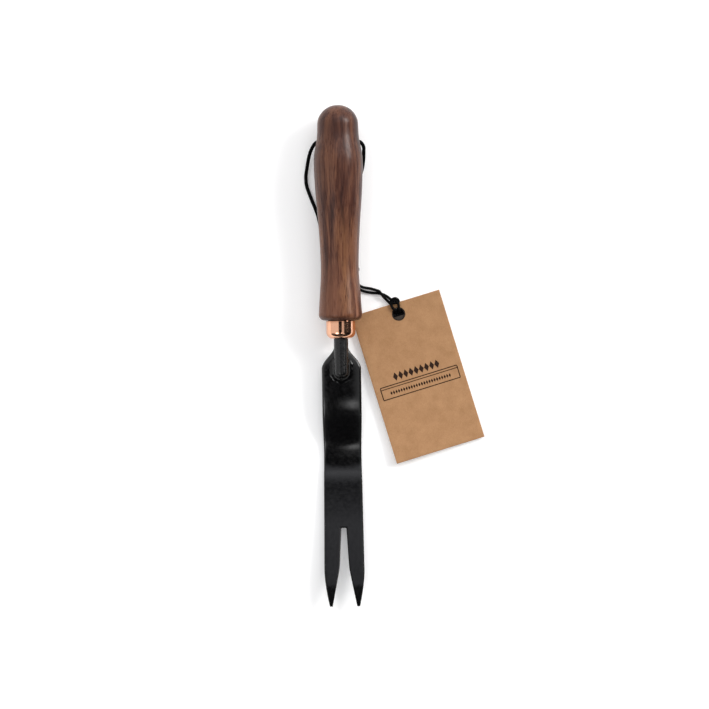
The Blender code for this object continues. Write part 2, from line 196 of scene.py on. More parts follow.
def smooth_line(points, spacing):
    """Evenly spaced points on a Catmull-Rom curve through the given ones."""
    points = [Vector(point) for point in points]
    dense = []
    for i in range(len(points) - 1):
        p1, p2 = points[i], points[i + 1]
        p0 = points[i - 1] if i else p1 * 2 - p2
        p3 = points[i + 2] if i + 2 < len(points) else p2 * 2 - p1
        for k in range(CURVE_STEPS):
            t = k / CURVE_STEPS
            dense.append(0.5 * (2 * p1 + (p2 - p0) * t + (2 * p0 - 5 * p1 + 4 * p2 - p3) * t * t
                                + (3 * p1 - p0 - 3 * p2 + p3) * t ** 3))
    dense.append(points[-1])
    lengths = [0.0]
    for a, b in zip(dense, dense[1:]):
        lengths.append(lengths[-1] + (b - a).length)
    count = max(2, round(lengths[-1] / spacing))
    result = []
    k = 0
    for i in range(count + 1):
        target = lengths[-1] * i / count
        while k < len(dense) - 2 and lengths[k + 1] < target:
            k += 1
        share = (target - lengths[k]) / max(lengths[k + 1] - lengths[k], 1e-12)
        result.append(dense[k].lerp(dense[k + 1], min(share, 1.0)))
    return result


def quarter(steps):
    """The angles of a quarter turn, in even steps."""
    return [math.pi / 2 * k / steps for k in range(steps + 1)]


def arc(centre, radius, start, end, steps):
    angles = [math.radians(start + (end - start) * i / steps) for i in range(steps + 1)]
    return [(centre[0] + radius * math.cos(a), centre[1] + radius * math.sin(a)) for a in angles]


def piece(name, shape, look, body="tool", sharp=40.0, replaces=()):
    """Makes the object of a bmesh, smooth-shaded with its sharp edges kept, and says what it belongs to."""
    bmesh.ops.recalc_face_normals(shape, faces=shape.faces)
    data = bpy.data.meshes.new(name)
    shape.to_mesh(data)
    shape.free()
    data.shade_smooth()
    data.set_sharp_from_angle(angle=math.radians(sharp))
    obj = bpy.data.objects.new(name, data)
    bpy.context.collection.objects.link(obj)
    if look is not None:
        data.materials.append(look)
        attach(obj, body)
    if replaces:
        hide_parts(*replaces)
    return obj


def apply_modifiers(obj):
    depsgraph = bpy.context.evaluated_depsgraph_get()
    data = bpy.data.meshes.new_from_object(obj.evaluated_get(depsgraph))
    obj.modifiers.clear()
    obj.data = data


def cut(obj, cutter):
    """Takes the cutter out of the object for good."""
    boolean = obj.modifiers.new("cut", "BOOLEAN")
    boolean.operation = "DIFFERENCE"
    boolean.solver = "EXACT"
    boolean.object = cutter
    apply_modifiers(obj)
    bpy.data.objects.remove(cutter)


SHARP_AFTER_BEVEL = 55


def soften(obj, width, segments, angle):
    """Rounds the sharp edges by a small radius."""
    bevel = obj.modifiers.new("soften", "BEVEL")
    bevel.width = width * MM
    bevel.segments = segments
    bevel.limit_method = "ANGLE"
    bevel.angle_limit = math.radians(angle)
    bevel.use_clamp_overlap = True
    apply_modifiers(obj)
    obj.data.shade_smooth()
    obj.data.set_sharp_from_angle(angle=math.radians(SHARP_AFTER_BEVEL))


def bridge(shape, ring, following):
    for i in range(max(len(ring), len(following))):
        j = i + 1
        corners = [ring[i % len(ring)], ring[j % len(ring)], following[j % len(following)],
                   following[i % len(following)]]
        shape.faces.new(list(dict.fromkeys(corners)))


def lathe(profile, segments, closed=False, wobble=None):
    """A bmesh turned about the tool's axis from (s, radius) points."""
    shape = bmesh.new()
    rings = []
    for s, radius in profile:
        if radius < 1e-6:
            rings.append([shape.verts.new(at(0, s, AXIS_HEIGHT))])
            continue
        ring = []
        for i in range(segments):
            angle = 2 * math.pi * i / segments
            r = radius + (wobble(s, angle) if wobble else 0.0)
            ring.append(shape.verts.new(at(r * math.sin(angle), s, AXIS_HEIGHT - r * math.cos(angle))))
        rings.append(ring)
    pairs = list(zip(rings, rings[1:]))
    if closed:
        pairs.append((rings[-1], rings[0]))
    for ring, following in pairs:
        bridge(shape, ring, following)
    return shape


# the rounded ends of a sweep, in parts of its radius: the inner ring's size and rise, and the tip's rise
CAP_RING = 0.6
CAP_RISE = 0.35
CAP_TIP = 0.5


def sweep(shape, path, section, closed=False):
    """Sweeps section(i, angle) -> radius along a path, with parallel frames, and rounds its open ends."""
    sides = section.sides
    tangents = []
    for i in range(len(path)):
        ahead = path[(i + 1) % len(path)] if closed else path[min(i + 1, len(path) - 1)]
        behind = path[i - 1] if closed or i else path[0]
        tangents.append((ahead - behind).normalized())
    normal = tangents[0].orthogonal().normalized()
    rings = []
    for i, (point, tangent) in enumerate(zip(path, tangents)):
        normal = (normal - tangent * normal.dot(tangent)).normalized()
        across = tangent.cross(normal)
        ring = []
        for k in range(sides):
            angle = 2 * math.pi * k / sides
            outward = normal * math.cos(angle) + across * math.sin(angle)
            ring.append(shape.verts.new(point + outward * section(i, angle)))
        rings.append(ring)
    for ring, following in zip(rings, rings[1:]):
        bridge(shape, ring, following)
    if closed:
        bridge(shape, rings[-1], rings[0])
        return
    radius = section(0, 0.0)
    for end, sign in ((0, -1), (-1, 1)):
        ring, point, outward = rings[end], path[end], tangents[end] * sign
        rise = outward * radius * CAP_RISE
        inner = [shape.verts.new(point + (v.co - point) * CAP_RING + rise) for v in ring]
        bridge(shape, ring, inner)
        tip = [shape.verts.new(point + outward * radius * CAP_TIP)]
        bridge(shape, inner, tip)


PLY_DEPTH = 0.1
PLY_SWELL = 1.25


class Plies:
    """The round outline of a laid cord: a few plies that turn along it."""

    def __init__(self, diameter, plies, pitch, spacing, sides=18):
        self.radius = diameter / 2 * MM
        self.plies = plies
        self.turn = 2 * math.pi * spacing / pitch
        self.sides = sides

    def __call__(self, i, angle):
        lobe = abs(math.cos(self.plies * (angle - self.turn * i) / 2))
        return self.radius * (1.0 - PLY_DEPTH + PLY_DEPTH * math.sqrt(lobe) * PLY_SWELL)


# ---------------------------------------------------------------- cords

HANG_CORD_ROUTE = [
    (-8.3, 100.8, 1.9), (-8.6, 95.0, 1.3), (-9.4, 88.0, 1.15), (-10.4, 80.0, 1.15), (-11.6, 73.0, 1.15),
    (-12.9, 67.0, 1.15), (-14.4, 62.4, 1.15), (-16.3, 57.6, 1.15), (-18.1, 52.7, 1.15),
    (-19.6, 47.8, 1.25), (-19.9, 42.6, 1.7), (-19.2, 37.8, 3.1), (-18.3, 33.0, 5.5), (-17.1, 28.6, 8.3),
    (-15.5, 25.2, 10.6), (-13.6, 22.8, 12.3), (-11.0, 21.8, 13.25), (-5.5, 21.7, 13.4),
    (5.5, 21.7, 13.4), (11.0, 21.8, 13.25), (13.8, 22.8, 12.4), (15.5, 25.2, 10.3), (15.6, 28.8, 7.9),
    (15.4, 33.0, 5.6), (14.7, 37.6, 3.4), (13.5, 42.2, 2.0), (12.2, 47.4, 1.25), (10.9, 54.0, 1.15),
    (9.9, 62.0, 1.15), (9.2, 72.0, 1.15), (8.9, 82.0, 1.2), (8.9, 88.5, 1.7), (9.0, 93.5, 2.7),
    (9.1, 97.5, 3.15), (9.1, 102.3, 3.05), (8.1, 105.7, 2.1), (5.6, 107.9, 1.3), (1.4, 108.6, 1.15),
    (-2.6, 107.4, 1.3), (-4.9, 105.9, 1.9),
]
STRING_ROUTE = [
    (10.8, 101.9, 4.4), (10.5, 104.8, 3.6), (10.6, 107.3, 3.1), (11.7, 109.5, 2.65), (13.8, 110.7, 1.9),
    (16.1, 111.2, 1.25), (18.4, 111.6, 0.95), (21.2, 112.4, 1.3), (23.6, 113.3, 2.3), (25.0, 114.9, 2.9),
    (26.5, 116.9, 2.4), (28.3, 118.8, 1.45), (29.95, 120.55, 0.95), (31.6, 122.7, 0.95), (33.1, 125.0, 1.15),
    (33.8, 126.0, 2.6), (33.1, 125.0, 4.0), (31.8, 123.6, 4.15), (31.0, 121.7, 4.15), (31.5, 119.9, 4.1),
    (33.2, 119.1, 4.1), (34.8, 120.0, 4.1), (35.4, 121.9, 4.15), (35.6, 123.7, 4.15), (35.8, 125.0, 4.0),
    (36.0, 126.0, 2.6), (35.8, 125.0, 1.2), (34.9, 123.4, 0.95), (33.3, 121.4, 0.95), (31.3, 119.0, 0.95),
    (29.2, 117.1, 0.9), (27.2, 115.8, 0.88), (25.0, 114.95, 0.88), (22.8, 114.5, 0.9), (20.6, 114.3, 0.95),
    (17.4, 113.9, 0.95), (14.2, 113.1, 0.95), (11.7, 111.7, 0.95), (10.4, 109.2, 0.95), (10.2, 105.6, 0.95),
    (10.3, 101.9, 1.1),
]
HANG_KNOT_CENTRE = (-8.3, 104.5, 2.35)
HANG_KNOT_SIZE = (2.35, 2.2, 1.05)
HITCH_CENTRE = (9.1, 100.0, 3.15)
HITCH_RADIUS = 2.05
HITCH_TURNS = 2.05
HITCH_LENGTH = 1.7
# each lay is the diameter, the number of plies, the length of one turn, and the step along the path
HANG_CORD_LAY = (2.2, 3, 4.2, 0.4)
STRING_LAY = (1.7, 2, 2.6, 0.3)
KNOT_LAY = (2.25, 3, 3.2, 0.25)
HITCH_LAY = (1.6, 2, 2.2, 0.3)
COLLAR_LAY = (1.45, 2, 2.2, 0.3)
CORD_SHARP = 60.0


def cord_look(name, colour, fibre, roughness):
    """Spun fibre: its middle colour, the scale of its hairs, and how matt it is."""
    shader = Shader(name)
    fine = shader.noise(shader.place, fibre, 3.0)
    soft = shader.noise(shader.place, 0.9, 2.0)
    low = tuple(0.5 * c for c in colour)
    high = tuple(1.8 * c for c in colour)
    shader.set(
        Base_Color=shader.ramp(shader.sum(fine, 0.6, soft, 0.4), (0.3, low), (0.7, high)),
        Roughness=shader.fit(fine, 0.3, 0.7, roughness - 0.1, roughness + 0.12),
        Specular_IOR_Level=0.05,
        Normal=shader.bump(fine, 0.08, 0.6),
    )
    return shader.material


def make_cord(name, route, lay, look):
    diameter, spacing = lay[0], lay[-1]
    path = smooth_line([at(*point) for point in route], spacing * MM)
    shape = bmesh.new()
    sweep(shape, path, Plies(*lay))
    cord = piece(name + "_laid", shape, look, sharp=CORD_SHARP, replaces=(name,))


def make_knot(look):
    """An overhand knot drawn tight: the cord's own thickness along a trefoil."""
    centre = at(*HANG_KNOT_CENTRE)
    width, length, height = HANG_KNOT_SIZE
    steps = 96
    path = []
    for i in range(steps):
        t = 2 * math.pi * i / steps
        x = (math.sin(t) + 2 * math.sin(2 * t)) / 3 * width
        y = (math.cos(t) - 2 * math.cos(2 * t)) / 3 * length
        z = -math.sin(3 * t) * height
        path.append(centre + Vector((x, y, z)) * MM)
    shape = bmesh.new()
    sweep(shape, path, Plies(*KNOT_LAY, sides=14), closed=True)
    return piece("hang_cord_overhand", shape, look, sharp=CORD_SHARP,
                 replaces=("hang_cord_knot",))


def make_hitch(look):
    """Two turns of the string round the hang cord."""
    centre = at(*HITCH_CENTRE)
    steps = 90
    path = []
    for i in range(steps + 1):
        turn = 2 * math.pi * HITCH_TURNS * i / steps
        along = HITCH_LENGTH * i / steps - HITCH_LENGTH / 2
        offset = Vector((HITCH_RADIUS * math.sin(turn), -along, HITCH_RADIUS * math.cos(turn)))
        path.append(centre + offset * MM)
    shape = bmesh.new()
    sweep(shape, path, Plies(*HITCH_LAY, sides=12))
    return piece("tag_string_turns", shape, look, sharp=CORD_SHARP,
                 replaces=("tag_string_hitch",))


COLLAR = [
    (30.7, 119.7, 4.2), (31.5, 118.4, 4.5), (33.2, 117.7, 4.65), (34.8, 118.3, 4.5), (35.6, 119.6, 4.2),
    (34.8, 120.5, 4.1), (33.2, 120.7, 4.05), (31.6, 120.5, 4.1),
]


def make_collar(look):
    """The turn of string that holds the loop shut, just off the tag's edge."""
    points = [at(*point) for point in COLLAR]
    path = smooth_line(points[-2:] + points + points[:2], COLLAR_LAY[-1] * MM)
    start = min(range(len(path) // 3), key=lambda i: (path[i] - points[0]).length)
    end = min(range(len(path) * 2 // 3, len(path)), key=lambda i: (path[i] - points[0]).length)
    shape = bmesh.new()
    sweep(shape, path[start:end], Plies(*COLLAR_LAY, sides=14), closed=True)
    return piece("tag_string_collar", shape, look, sharp=CORD_SHARP)


BIGHT_Z = 0.93
BIGHT = [
    [(31.3, 125.75), (33.3, 125.45), (34.7, 125.0), (36.1, 124.5), (38.2, 123.7)],
    [(31.3, 127.25), (33.5, 126.95), (35.1, 126.5), (36.7, 125.95), (38.9, 125.15)],
    [(31.7, 128.95), (34.0, 128.55), (35.6, 128.05), (37.2, 127.5), (39.4, 126.75)],
]


def make_bight(look):
    """The strands of the loop that lie under the tag, below the upper part of its hole."""
    shape = bmesh.new()
    for strand in BIGHT:
        path = smooth_line([at(*point, BIGHT_Z) for point in strand], STRING_LAY[-1] * MM)
        sweep(shape, path, Plies(*STRING_LAY, sides=14))
    return piece("tag_string_bight", shape, look, sharp=CORD_SHARP)


cotton = cord_look("black cotton", (0.0016, 0.0016, 0.0019), 9.0, 0.6)
waxed = cord_look("waxed black linen", (0.0016, 0.0016, 0.0018), 13.0, 0.45)
knot = make_knot(cotton)
turns = make_hitch(waxed)
collar = make_collar(waxed)
bight = make_bight(waxed)
make_cord("hang_cord", HANG_CORD_ROUTE, HANG_CORD_LAY, cotton)
make_cord("tag_string", STRING_ROUTE, STRING_LAY, waxed)


# ---------------------------------------------------------------- handle

HANDLE_FRONT_S = 130.8
DOME_DEPTH = 12.0
HANDLE_OUTLINE = [
    (12.0, 12.45), (17.0, 12.58), (20.0, 12.85), (23.0, 13.35), (27.0, 14.1), (31.0, 14.7), (35.0, 14.9),
    (39.0, 14.85), (45.0, 14.6), (52.0, 14.25), (60.0, 13.65), (68.0, 13.0), (76.0, 12.45), (84.0, 11.98),
    (92.0, 11.65), (99.0, 11.55), (105.0, 11.7), (112.0, 12.2), (119.0, 12.68), (127.3, 13.25),
]
FRONT_FILLET = 3.5
# the spigot that goes into the ferrule, then the tang's bore down to its drilled end
HANDLE_INSIDE = [(HANDLE_FRONT_S, 7.8), (138.2, 7.8), (140.9, 5.1), (140.9, 5.0), (74.0, 5.0), (72.0, 0.0)]
TURNING_RELIEF = 0.05
CORD_HOLE_S = 21.7
CORD_HOLE_Z = 13.4
CORD_HOLE_RADIUS = 2.0
CORD_HOLE_REACH = 16.5


def walnut_look():
    """Oiled black walnut: dark and purple-brown, with a golden streak, long pores, and darker towards the
    front rim.
    """
    shader = Shader("oiled walnut")
    x, y, z = (shader.axis(name) for name in "XYZ")
    drift = shader.noise(shader.stretched((0.12, 0.016, 0.12)), 1.0, 3.0)
    across = shader.math("ADD", x, shader.times(shader.math("SUBTRACT", drift, 0.5), 14.0))
    rings = shader.tree.nodes.new("ShaderNodeCombineXYZ")
    for socket, value in zip(rings.inputs, (across, shader.times(y, 0.035), z)):
        shader.link(value, socket)
    bands = shader.noise(rings.outputs[0], 0.23, 3.0, 0.6)
    fine = shader.noise(shader.stretched((1.0, 0.045, 1.0)), 1.6, 5.0, 0.65)
    fibre = shader.noise(shader.stretched((1.0, 0.03, 1.0)), 5.5, 3.0, 0.6)
    tone = shader.sum(bands, 0.7, fine, 0.3)
    colour = shader.ramp(tone, (0.37, (0.034, 0.0115, 0.0082)), (0.46, (0.080, 0.029, 0.0185)),
                         (0.53, (0.142, 0.057, 0.033)), (0.62, (0.235, 0.101, 0.055)))
    centre = shader.times(shader.math("ADD", y, -92.0), -0.02)
    off_centre = shader.math("SUBTRACT", across, shader.math("ADD", centre, 3.2))
    streak = shader.fit(shader.math("ABSOLUTE", off_centre), 6.0, 1.2, smooth=True)
    along = shader.times(shader.fit(y, 98.0, 62.0, smooth=True), shader.fit(y, 16.0, 34.0, smooth=True))
    streak = shader.times(shader.times(streak, along), shader.fit(fine, 0.25, 0.6))
    colour = shader.mix(shader.times(streak, 0.85), colour, (0.24, 0.102, 0.045))
    pores = shader.noise(shader.stretched((1.0, 0.06, 1.0), (7, 3, 1)), 3.4, 2.0, 0.5)
    pores = shader.fit(pores, 0.62, 0.72, smooth=True)
    colour = shader.mix(shader.times(pores, 0.55), colour, (0.024, 0.011, 0.008))
    colour = shader.mix(shader.fit(y, 30.0, 130.0, 0.0, 0.48), colour, (0.032, 0.012, 0.0095))
    # painted light: the handle's left side is made paler towards the front, standing in for light falling
    # there
    painted_light_left = shader.times(shader.fit(y, 66.0, 34.0, smooth=True), shader.fit(x, 3.0, -7.0, smooth=True))
    colour = shader.mix(shader.times(painted_light_left, 0.4), colour, (0.235, 0.098, 0.054))
    front = shader.fit(y, 25.0, 22.0, smooth=True)
    colour = shader.mix(shader.times(front, 0.45), colour, (0.035, 0.015, 0.010))
    height = shader.math("SUBTRACT", shader.times(fibre, 0.5), pores)
    shader.set(
        Base_Color=colour,
        Roughness=shader.fit(fine, 0.3, 0.7, 0.25, 0.36),
        Specular_IOR_Level=0.2,
        Normal=shader.bump(height, 0.10, 0.5),
    )
    return shader.material


def hole_radius(x):
    """The cross hole's radius, which flares towards the handle's surface."""
    return CORD_HOLE_RADIUS + (0.02 * math.exp((abs(x) - 9.0) * 0.78) if abs(x) > 6 else 0.0)


def make_handle(look):
    rear, rim = HANDLE_OUTLINE[0][1], HANDLE_OUTLINE[-1][1]
    dome = [(DOME_DEPTH * (1 - math.cos(a)), rear * math.sin(a)) for a in quarter(26)[:-1]]
    body = [tuple(point) for point in smooth_line(HANDLE_OUTLINE, 1.2)]
    front = arc((HANDLE_FRONT_S - FRONT_FILLET, rim - FRONT_FILLET), FRONT_FILLET, 80, 0, 10)

    def wobble(s, angle):
        return TURNING_RELIEF * noise.noise(Vector((math.cos(angle), math.sin(angle), s * 0.02)) * 1.5)

    handle = piece("handle_turned", lathe(dome + body + front + HANDLE_INSIDE, 128, wobble=wobble), look,
                   replaces=("handle",))
    shape = bmesh.new()
    rings = []
    steps = sides = 40
    for k in range(steps + 1):
        x = 2 * CORD_HOLE_REACH * k / steps - CORD_HOLE_REACH
        radius = hole_radius(x)
        rings.append([shape.verts.new(at(x, CORD_HOLE_S + radius * math.sin(2 * math.pi * i / sides),
                                         CORD_HOLE_Z + radius * math.cos(2 * math.pi * i / sides)))
                      for i in range(sides)])
    for ring, following in zip(rings, rings[1:]):
        bridge(shape, ring, following)
    shape.faces.new(rings[0])
    shape.faces.new(rings[-1])
    cut(handle, piece("cord_hole", shape, None))
    handle.data.shade_smooth()
    handle.data.set_sharp_from_angle(angle=math.radians(40))


make_handle(walnut_look())


# ---------------------------------------------------------------- ferrule

def copper_look():
    """Polished spun copper with faint turning lines and a little tarnish in the corners."""
    shader = Shader("polished copper")
    spun = shader.noise(shader.stretched((0.05, 7.0, 0.05)), 1.0, 3.0)
    haze = shader.noise(shader.place, 0.35, 3.0)
    y = shader.axis("Y")
    back = shader.fit(y, 19.4, 21.2, smooth=True)
    tone = shader.mix(haze, (0.90, 0.50, 0.33), (0.82, 0.43, 0.27))
    shader.set(
        Base_Color=shader.mix(shader.times(back, 0.5), tone, (0.40, 0.16, 0.08)),
        Metallic=1.0,
        Roughness=shader.fit(shader.math("ADD", shader.times(spun, 0.1), haze), 0.35, 0.75, 0.09, 0.15),
        Normal=shader.bump(spun, 0.004, 0.2),
    )
    return shader.material


def make_ferrule(look):
    """A spun cup. A point just off each end of its straight wall keeps the shading there even."""
    outer, start, end, neck, wall, corner, edge = 8.9, 131.1, 142.0, 4.65, 0.75, 4.0, 0.3
    centre = (end - corner, outer - corner)
    outside = arc((start + edge, outer - edge), edge, 180, 90, 4)
    outside += [(start + 0.4, outer), (end - corner - 0.1, outer)] + arc(centre, corner, 90, 4, 16)
    lip = arc((end - edge, neck + edge), edge, 0, -90, 4)
    inside = [(end - wall, neck)] + arc(centre, corner - wall, 0, 90, 8)
    inside += [(start + 0.15, outer - wall)]
    piece("ferrule_spun", lathe(outside + lip + inside, 128, closed=True), look,
          replaces=("ferrule",), sharp=50)


make_ferrule(copper_look())


# ---------------------------------------------------------------- blade, shank and weld

BLADE_START_S = 147.6
SHOULDER_LENGTH = 12.7
SHOULDER_S = 160.3
HEEL_S = 212.5
FORK_ROOT_S = 257.3
POINT_S = 279.5
TAPER_S = 283.0
TIP_S = 305.0
# keys of (s, value): the slope in degrees, the others in millimetres
SLOPE = [
    (147.6, 0.0), (174.0, 0.0), (188.0, -15.0), (203.0, -15.0), (210.5, 0.0), (214.5, 0.0),
    (218.5, 7.0), (223.0, 7.0), (231.0, 3.5), (255.0, 5.5), (305.0, 5.5),
]
THICKNESS = [(147.6, 5.0), (190.0, 5.0), (210.5, 3.6), (221.0, 2.7), (294.0, 2.2), (305.0, 0.9)]
HALF_WIDTH = [
    (160.3, 12.0), (192.0, 12.0), (209.0, 11.45), (216.0, 11.45), (230.0, 11.75), (256.0, 11.97),
    (283.0, 12.28),
]
EDGE_ROUND = [(147.6, 1.6), (200.0, 1.5), (221.0, 0.7), (294.0, 0.6), (305.0, 0.3)]
CROWN = [(147.6, 0.5), (205.0, 0.5), (221.0, 0.0), (305.0, 0.0)]
NECK_END_HALF = 4.45
TAPER_DEPTH = 2.75
TAPER_LENGTH = 20.5
SLOT_HALF = 1.5
SLOT_CORNER = 0.7
TABLE_START_S = 147.5
TABLE_STEP = 0.25


def rounded(keys, s, reach=2.0):
    """The value at s, with the corners between the keys blurred over a short reach."""
    return sum(between(keys, s + reach * k / 3) for k in range(-3, 4)) / 7


def height_table():
    """The underside's height above the heel, at even steps along the blade."""
    heights = [0.0]
    for i in range(round((TIP_S - TABLE_START_S) / TABLE_STEP)):
        slope = rounded(SLOPE, TABLE_START_S + TABLE_STEP * (i + 0.5), 1.5)
        heights.append(heights[-1] + math.tan(math.radians(slope)) * TABLE_STEP)
    base = heights[int((HEEL_S - TABLE_START_S) / TABLE_STEP)]
    return [max(0.0, height - base) for height in heights]


UNDERSIDE = height_table()


def underside(s):
    position = (s - TABLE_START_S) / TABLE_STEP
    i = max(0, min(len(UNDERSIDE) - 2, int(position)))
    low, high = UNDERSIDE[i], UNDERSIDE[i + 1]
    return low + (high - low) * (position - i)


def outer_half(s):
    """Half the blade's width: the shoulder's curve, the long sides, then the taper to the tips."""
    if s < SHOULDER_S:
        t = ((s - BLADE_START_S) / SHOULDER_LENGTH) ** 0.85
        return NECK_END_HALF + (HALF_WIDTH[0][1] - NECK_END_HALF) * t * t * (3 - 2 * t)
    if s > TAPER_S:
        return HALF_WIDTH[-1][1] - TAPER_DEPTH * ((s - TAPER_S) / TAPER_LENGTH) ** 1.6
    return rounded(HALF_WIDTH, s, 3.0)


def slot_half(s):
    """Half the gap between the tines: a slight flare, then a wider one towards the points."""
    if s < FORK_ROOT_S:
        return SLOT_HALF
    into = s - FORK_ROOT_S
    half = SLOT_HALF + 0.055 * into + 0.148 * (math.hypot(max(0.0, s - POINT_S), 3.0) - 3.0)
    if into < SLOT_CORNER:
        half -= SLOT_CORNER - math.sqrt(max(0.0, SLOT_CORNER ** 2 - (SLOT_CORNER - into) ** 2))
    return half


def plate_top(s, x):
    crown = between(CROWN, s)
    return underside(s) + rounded(THICKNESS, s) - crown * (x / outer_half(s)) ** 2


def coating_look(name, mottle, roughness, wear, gloss):
    """Black oxide over forged steel: fine mottling, soft scale marks and rubbed edges."""
    shader = Shader(name)
    fine = shader.noise(shader.place, 2.2, 4.0, 0.6)
    scale = shader.noise(shader.place, 0.55, 3.0, 0.55)
    grit = shader.noise(shader.place, 7.0, 2.0)
    drawn = shader.noise(shader.stretched((0.9, 0.09, 0.9)), 1.0, 3.0)
    pointed = shader.tree.nodes.new("ShaderNodeNewGeometry").outputs["Pointiness"]
    edge = shader.times(shader.fit(pointed, 0.52, 0.60, smooth=True), wear)
    tone = shader.ramp(shader.sum(fine, 0.55, scale, 0.45),
                       (0.35, (0.0008, 0.0008, 0.0009)), (0.65, (0.0024, 0.0023, 0.0028)))
    height = shader.math("ADD", shader.sum(fine, 0.5, grit, 0.2), shader.times(drawn, 0.6))
    shader.set(
        Base_Color=shader.mix(edge, tone, (0.05, 0.048, 0.046)),
        Roughness=shader.fit(scale, 0.35, 0.65, roughness - 0.03, roughness + 0.04),
        Specular_IOR_Level=gloss,
        Normal=shader.bump(height, mottle, 0.35),
    )
    return shader.material


def half_ring(s, side, inner):
    """From under the inner edge, round the outer edge, to above the inner edge."""
    bottom = underside(s)
    thick = rounded(THICKNESS, s)
    outer = outer_half(s)
    edge = between(EDGE_ROUND, s)
    lower = min(edge, 0.42 * thick, 0.42 * (outer - inner))
    upper = min(edge, 0.5 * thick, 0.42 * (outer - inner))
    points = [(inner + (outer - lower - inner) * k / 5, bottom) for k in range(5)]
    points += [(outer - lower + lower * math.sin(a), bottom + lower * (1 - math.cos(a))) for a in quarter(5)]
    edge_top = plate_top(s, outer)
    points += [(outer - upper + upper * math.cos(a), edge_top - upper * (1 - math.sin(a)))
               for a in quarter(6)]
    flat = outer - upper
    points += [(inner + (flat - inner) * k / 8, None) for k in range(7, -1, -1)]
    ring = []
    for x, z in points:
        if z is None:
            z = plate_top(s, x) - (plate_top(s, flat) - edge_top) * (x / flat) ** 4
        ring.append(at(side * x, s, z))
    return ring


def make_blade(look):
    """Two mirrored halves that share their middle as far as the fork's root, and part there into tines."""
    shape = bmesh.new()
    stations = [BLADE_START_S + SHOULDER_LENGTH * (i / 30) ** 1.25 for i in range(31)]
    stations += [SHOULDER_S + (FORK_ROOT_S - SHOULDER_S) * i / 110 for i in range(1, 111)]
    root = len(stations) - 1
    stations += [FORK_ROOT_S + SLOT_CORNER * (1 - math.cos(a)) for a in quarter(6)[1:]]
    slot_s = FORK_ROOT_S + SLOT_CORNER
    stations += [slot_s + (TIP_S - slot_s) * i / 60 for i in range(1, 61)]
    sides = {}
    for side in (-1, 1):
        sides[side] = [[shape.verts.new(p) for p in half_ring(s, side, slot_half(s))] for s in stations]
        for ring, following in zip(sides[side], sides[side][1:]):
            for (a, b), (c, d) in zip(zip(ring, ring[1:]), zip(following, following[1:])):
                shape.faces.new((a, b, d, c))
        for ring, following in zip(sides[side][root:], sides[side][root + 1:]):
            shape.faces.new((ring[0], ring[-1], following[-1], following[0]))
        shape.faces.new(sides[side][-1])
    for i in range(root):
        for end in (0, -1):
            shape.faces.new((sides[-1][i][end], sides[1][i][end], sides[1][i + 1][end],
                             sides[-1][i + 1][end]))
    left, right = sides[-1][root], sides[1][root]
    shape.faces.new((left[0], right[0], right[-1], left[-1]))
    shape.faces.new(sides[-1][0] + sides[1][0][::-1])
    blade = piece("blade_forged", shape, look, replaces=("blade",))
    start, turn, tip, radius = 145.0, 163.1, 2.9, 4.5
    groove = [(start, 0.0), (start, radius)]
    groove += [(turn + tip * math.sin(a), radius * math.cos(a)) for a in quarter(10)[:-1]]
    groove += [(turn + tip, 0.0)]
    cut(blade, piece("groove", lathe(groove, 64), None))
    soften(blade, 0.28, 3, 45.0)


def make_shank(look):
    """The tang with its four grooves for the resin, then the neck with its rounded end."""
    tang, grooved, neck, start, end, tip = 3.9, 3.4, 4.35, 140.1, 163.0, 2.8
    profile = [(76.0, 0.0), (76.0, 2.9), (77.0, tang)]
    for s in (86.0, 98.0, 110.0, 122.0):
        profile += [(s, tang), (s + 0.7, grooved), (s + 2.3, grooved), (s + 3.0, tang)]
    profile += [(start - 0.2, tang), (start, neck)]
    profile += [(start + (end - start) * k / 16, neck) for k in range(1, 17)]
    profile += [(end + tip * math.sin(a), neck * math.cos(a)) for a in quarter(10)[1:-1]]
    profile += [(end + tip, 0.0)]

    def wobble(s, angle):
        if s < start + 0.9:
            return 0.0
        return 0.06 * noise.noise(Vector((math.cos(angle) * 2, math.sin(angle) * 2, s * 0.35)))

    piece("shank_forged", lathe(profile, 64, wobble=wobble), look, replaces=("shank",),
          sharp=50)


def make_weld(look):
    """A fillet with slight ripples, along both sides of the neck and round its end."""
    start, turn, inner, toe, sunk = 153.6, 162.0, 4.2, 7.2, -0.25
    path = [(-1.0, start + (turn - start) * k / 18, 0.0) for k in range(18)]
    path += [(-math.cos(math.pi * k / 44), turn, math.sin(math.pi * k / 44)) for k in range(45)]
    path += [(1.0, turn - (turn - start) * k / 18, 0.0) for k in range(1, 19)]
    shape = bmesh.new()
    rings = []
    count = len(path)
    for i, (x, s, ahead) in enumerate(path):
        share = min(1.0, min(i, count - 1 - i) / 9 + 0.15)
        ripple = 0.16 * math.sin(i * 0.9) + 0.22 * noise.noise(Vector((i * 0.16, 3.0, 0.0)))
        width = (toe - inner + ripple) * share
        rise = (2.7 + 0.12 * math.sin(i * 0.9 + 1.0)) * (0.35 + 0.65 * share)
        outline = []
        for k in range(9):
            t = k / 8
            up = rise * (t ** 1.9) * 0.85 + 0.12 * math.sin(math.pi * t) + 0.02
            outline.append((inner + width * (1 - t), up))
        outline += [(3.7, rise * 0.8), (3.4, 0.2), (inner, sunk), (inner + width, sunk)]
        ring = []
        for reach, up in outline:
            across, along = x * reach, s + ahead * reach
            ring.append(shape.verts.new(at(across, along, plate_top(along, across) + up)))
        rings.append(ring)
    for ring, following in zip(rings, rings[1:]):
        bridge(shape, ring, following)
    shape.faces.new(rings[0])
    shape.faces.new(rings[-1])
    piece("weld_fillet", shape, look, replaces=("weld_bead",), sharp=70)


make_blade(coating_look("black oxide", 0.02, 0.17, 0.5, 0.5))
make_shank(coating_look("black oxide neck", 0.10, 0.28, 0.3, 0.45))
make_weld(coating_look("black weld", 0.14, 0.13, 0.1, 0.3))


